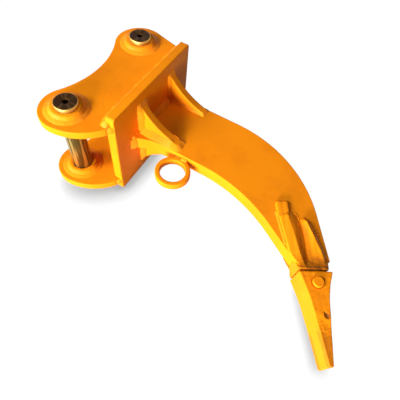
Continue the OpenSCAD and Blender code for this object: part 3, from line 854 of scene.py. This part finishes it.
fineU = np.linspace(-14, -2, 49)
inset, lid = (course(fineU, (adapterLook["collarAt"], adapterLook[name]))
              for name in ("collarInset", "collarHalf"))
collar = boxLoft(fineU, course(fineU, ([-14, -2], adapterLook["collarLow"])) + inset,
                 course(fineU, ([-14, -2], adapterLook["collarHigh"])) - inset, lid,
                 adapterLook["corner"], flat=48)
rough = lumpy(collar[..., 0], collar[..., 1], adapterLook["lumps"]) * step(np.abs(collar[..., 2]), 8, 10)
collar[..., 2] = collar[..., 2] + np.sign(collar[..., 2]) * rough
noseDepth = np.array(adapterLook["noseDepth"])
nose = boxLoft([adapterLook["front"], *adapterLook["noseEnd"]], -noseDepth, noseDepth,
               adapterLook["noseHalf"], 1.6, flat=48)
addPiece("adapter", [skin(fromRim(np.concatenate([collar, nose]))), longStrap, tab, shortStrap,
                     flipZ(longStrap), flipZ(tab), flipZ(shortStrap)],
         adapterPaint, ["adapter"], crease=50)

strapSeams = {"long": ((-31.5, -26.2), (-74.4, -32.8), 2.2),  # start, end and leg
              "tab": ((-73.5, -11.4), (-64.4, -7.0), 1.4),
              "short": ((-54.0, 10.2), (-42.6, 13.4), 1.5)}
strapWelds = []
for start, end, leg in strapSeams.values():
    start, end = (fromRim(np.array([point[0], point[1], shankHalf])) for point in (start, end))
    run = (end - start) / np.linalg.norm(end - start)
    strapWelds.append(bead(line(start, end), np.array([-run[1], run[0], 0]), zAxis, leg, 0.6 * leg, calmBead,
                           phase=0.4))
for level, turn in levels.items():
    addWeld(level + "StrapWeld", [turn(weld) for weld in strapWelds], level + "_strap_weld")

toothLook = {"half": 16.0, "length": 92.0, "corner": 1.2, "socket": 33.0, "relief": 0.7, "notch": 1.2,
             "lumps": 0.07, "at": [0, 14, 28, 42, 92], "front": [-18.5, -14.4, -10.9, -8.6, -1.6],
             "back": [18.5, 13.4, 9.9, 8.2, 2.0], "pinAt": 12.0, "pinRadius": 6.0, "pinProud": 2.6,
             "pinChamfer": 0.8, "groove": 0.9}
toothHalf, toothLength = toothLook["half"], toothLook["length"]
toothU = np.concatenate([[0.0, 0.4], np.linspace(1.2, toothLength - 0.8, 190),
                         [toothLength - 0.2, toothLength]])
kernel = np.hanning(15) / np.hanning(15).sum()


def eased(values):
    # the straight-line depths with their kinks rounded by a moving mean
    run = np.interp(toothU, toothLook["at"], values)
    padded = np.concatenate([2 * run[0] - run[7:0:-1], run, 2 * run[-1] - run[-2:-9:-1]])
    return np.convolve(padded, kernel, "valid")


bevel = np.interp(toothU, [0, 1.2, toothLength - 0.8, toothLength], [0.7, 0, 0, 0.5])
outer = boxLoft(toothU, eased(toothLook["front"]) + bevel, eased(toothLook["back"]) - bevel,
                toothHalf - bevel, toothLook["corner"] * (1 - toothU / 130), flat=64)
u, v, z = outer[..., 0], outer[..., 1], outer[..., 2]
lid = step(np.abs(z), 8, 12)
relief = step(u - 47 - (v + 2.5) * 0.483, -4.0, 6.0)  # slanted start of the lower face towards the tip
notch = step(v, 0.4, 2.4) * step(u - 41 - (v - 0.5) * 0.478, -0.8, 1.4) * (1 - step(v, 3.8, 6.2))
notch = notch * (1 - step(u - 46.8 - (v - 0.5) * 0.435, -1.4, 1.4))
cut = toothLook["relief"] * relief
cut = cut + np.clip(toothLook["notch"] - cut, 0, None) * notch
patch = relief * step(u, 48, 51) * (1 - step(u, 62, 66))  # rough patch below the notch
pinReach = np.hypot(u - toothLook["pinAt"], v)
groove = toothLook["groove"] * np.exp(-((pinReach - toothLook["pinRadius"] - 0.25) / 0.42) ** 2)
lumps = lumpy(u, v, 0.05) + patch * lumpy(2 * u, 2 * v, toothLook["lumps"])
outer[..., 2] = z * (1 - cut / toothHalf) + np.sign(z) * lid * (lumps - groove)
socketU = np.array([0.0, 0.5, toothLook["socket"]])
socket = boxLoft(socketU, [-13.4, -13.2, -6.4], [13.4, 13.2, 6.4], [11.4, 11.3, 9.4], 1.6, flat=64)
addPiece("tooth", [skin(fromRim(np.concatenate([socket[::-1], outer])))],
         toothPaint, ["tooth"], crease=50)

lockTop = toothHalf + toothLook["pinProud"]
lockRadius, lockChamfer = toothLook["pinRadius"], toothLook["pinChamfer"]
lockProfile = [(0, -lockTop), (lockRadius - lockChamfer, -lockTop), (lockRadius, lockChamfer - lockTop),
               (lockRadius, lockTop - lockChamfer), (lockRadius - lockChamfer, lockTop), (0, lockTop)]
lockCentre = fromRim(np.array([toothLook["pinAt"], 0.0, 0.0]))
addPiece("toothPin", [lathe(lockProfile, lockCentre[:2], steps=64)], toothPaint, ["tooth_pin"])
print("adapter and tooth made")


# floor, lights and camera

stageLook = {"rest": (61.0, -66.5), "slope": 0.152, "size": 4.0, "pale": 0.40, "lit": 0.02,
             "dim": (0.42, 0.42, 0.42, 1.0), "clear": (1.0, 1.0, 1.0, 1.0),  # floor in shade and in the clear
             "contact": (0.012, 0.027), "earsTo": (0.09, 0.16)}  # reach of the contact shade, metres
pale = Finish("paleFloor")
near, wide = (pale.node("AmbientOcclusion", {"samples": 16}, {"Distance": reach}, "AO")
              for reach in stageLook["contact"])
earSide = 1 - pale.band(pale.split(pale.place())[0], *stageLook["earsTo"])  # wide shade only at the ears
shade = near * near * (1 - earSide * (1 - wide * wide))
diffuse = pale.node("BsdfDiffuse", None, {"Color": (stageLook["pale"],) * 3 + (1.0,)})
shaded = pale.node("BsdfDiffuse", None, {"Color": (stageLook["lit"],) * 3 + (1.0,)})
shine = pale.node("Emission", None, {"Color": pale.mix(shade, stageLook["dim"], stageLook["clear"]),
                                     "Strength": 1.0})
bright = pale.node("AddShader", None, {0: shaded, 1: shine})
ground = pale.node("MixShader", None, {0: pale.seen(), 1: diffuse, 2: bright})
pale.node("OutputMaterial", None, {"Surface": ground})
half = stageLook["size"] / 2
x0, z0 = stageLook["rest"][0] * mm, stageLook["rest"][1] * mm
corners = np.array([(-half, -half), (half, -half), (half, half), (-half, half)])
floorPoints = np.column_stack([corners[:, 0] + x0, corners[:, 1], z0 + stageLook["slope"] * corners[:, 0]])
floorMesh = bpy.data.meshes.new("floor")
floorMesh.from_pydata(floorPoints.tolist(), [], [(0, 1, 2, 3)])
floorMesh.materials.append(pale.material)
floor = bpy.data.objects.new("floor", floorMesh)
bpy.context.scene.collection.objects.link(floor)

worldLook = {"colour": (1.0, 0.98, 0.95, 1.0), "level": 0.06, "backdrop": (1.0, 1.0, 1.0, 1.0)}
sky = Finish("studio", bpy.data.worlds)
fill = sky.node("Background", None, {"Color": worldLook["colour"], "Strength": worldLook["level"]})
backdrop = sky.node("Background", None, {"Color": worldLook["backdrop"]})
around = sky.node("MixShader", None, {0: sky.seen(), 1: fill, 2: backdrop})
sky.node("OutputWorld", None, {"Surface": around})
bpy.context.scene.world = sky.material

aim = np.array([0.15, 0.05, 0.0])
lampLook = {  # direction from the part, distance, size and level
    "key": {"towards": (-0.57, -0.62, 0.53), "distance": 3.4, "size": 1.2, "level": 1.15},
    "front": {"towards": (0.0, -0.98, 0.14), "distance": 3.0, "size": 0.9, "level": 2.55},
    "top": {"towards": (0.05, 0.15, 1.0), "distance": 2.4, "size": 1.6, "level": 0.15},
}
for name, look in lampLook.items():
    towards = np.array(look["towards"]) / np.linalg.norm(look["towards"])
    lamp = bpy.data.lights.new(name, "AREA")
    lamp.shape = "SQUARE"
    lamp.size = look["size"]
    lamp.energy = look["level"] * (math.pi * look["distance"]) ** 2  # white square to it shows as level
    holder = bpy.data.objects.new(name, lamp)
    facing = Vector(towards).to_track_quat("Z", "Y").to_matrix().to_4x4()
    holder.matrix_world = Matrix.Translation(aim + look["distance"] * towards) @ facing
    bpy.context.scene.collection.objects.link(holder)

cameraLook = {"place": (0.252749, -0.201131, 0.363578), "turn": (31.0408, -5.4400, 29.2609),
              "focal": 358.21, "frame": 400}
camera = bpy.data.cameras.new("photoCamera")
camera.sensor_width = 36.0
camera.lens = cameraLook["focal"] / cameraLook["frame"] * camera.sensor_width
camera.clip_start = 0.01
viewer = bpy.data.objects.new("photoCamera", camera)
viewer.location = cameraLook["place"]
viewer.rotation_euler = [math.radians(angle) for angle in cameraLook["turn"]]
bpy.context.scene.collection.objects.link(viewer)
bpy.context.scene.camera = viewer
bpy.context.scene.view_settings.view_transform = "Standard"
print("stage set")
